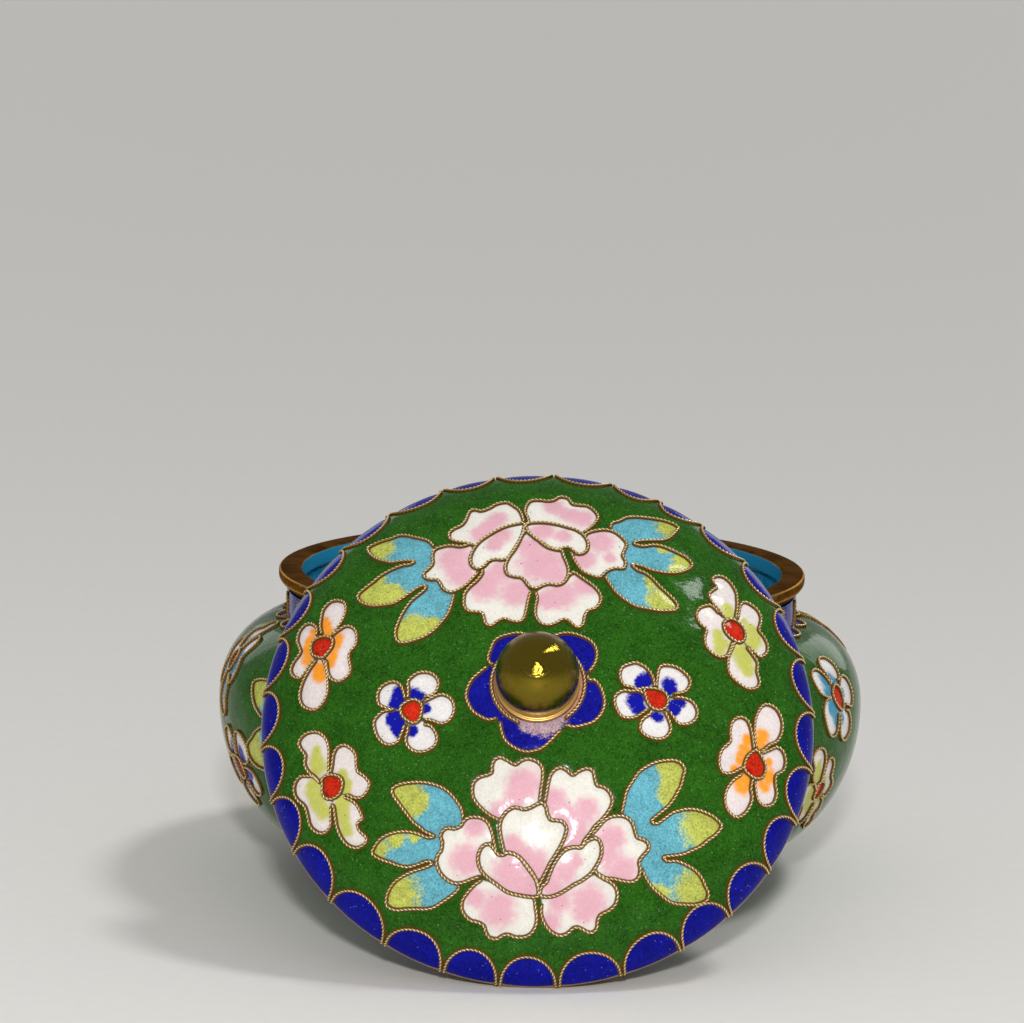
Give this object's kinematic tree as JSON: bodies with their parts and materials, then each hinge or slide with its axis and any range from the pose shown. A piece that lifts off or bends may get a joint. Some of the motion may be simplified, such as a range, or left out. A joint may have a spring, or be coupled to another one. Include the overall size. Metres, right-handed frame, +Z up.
{
  "type": "cloisonne jar",
  "caption": "Low round enamelled copper jar, open, with its domed lid and ball knob leaned against the front of the mouth.",
  "frame": {"origin": "middle of the ground that jar and lid cover, on the table", "axes": "+Z up; the lid leans on the jar's -Y side and shows its knob there; +X to the right seen from that side"},
  "size_m": [0.0958, 0.1144, 0.0628],
  "materials": {
    "enamel": "gloss",
    "copper": "satin",
    "brass": "polished",
    "wire": "satin"
  },
  "bodies": {
    "root": {"jar_body": "enamel", "mouth_rim": "copper", "foot_ring": "copper", "lid_dome": "enamel", "lid_collar": "copper", "knob_washer": "brass", "knob": "brass"}
  },
  "joints": []
}
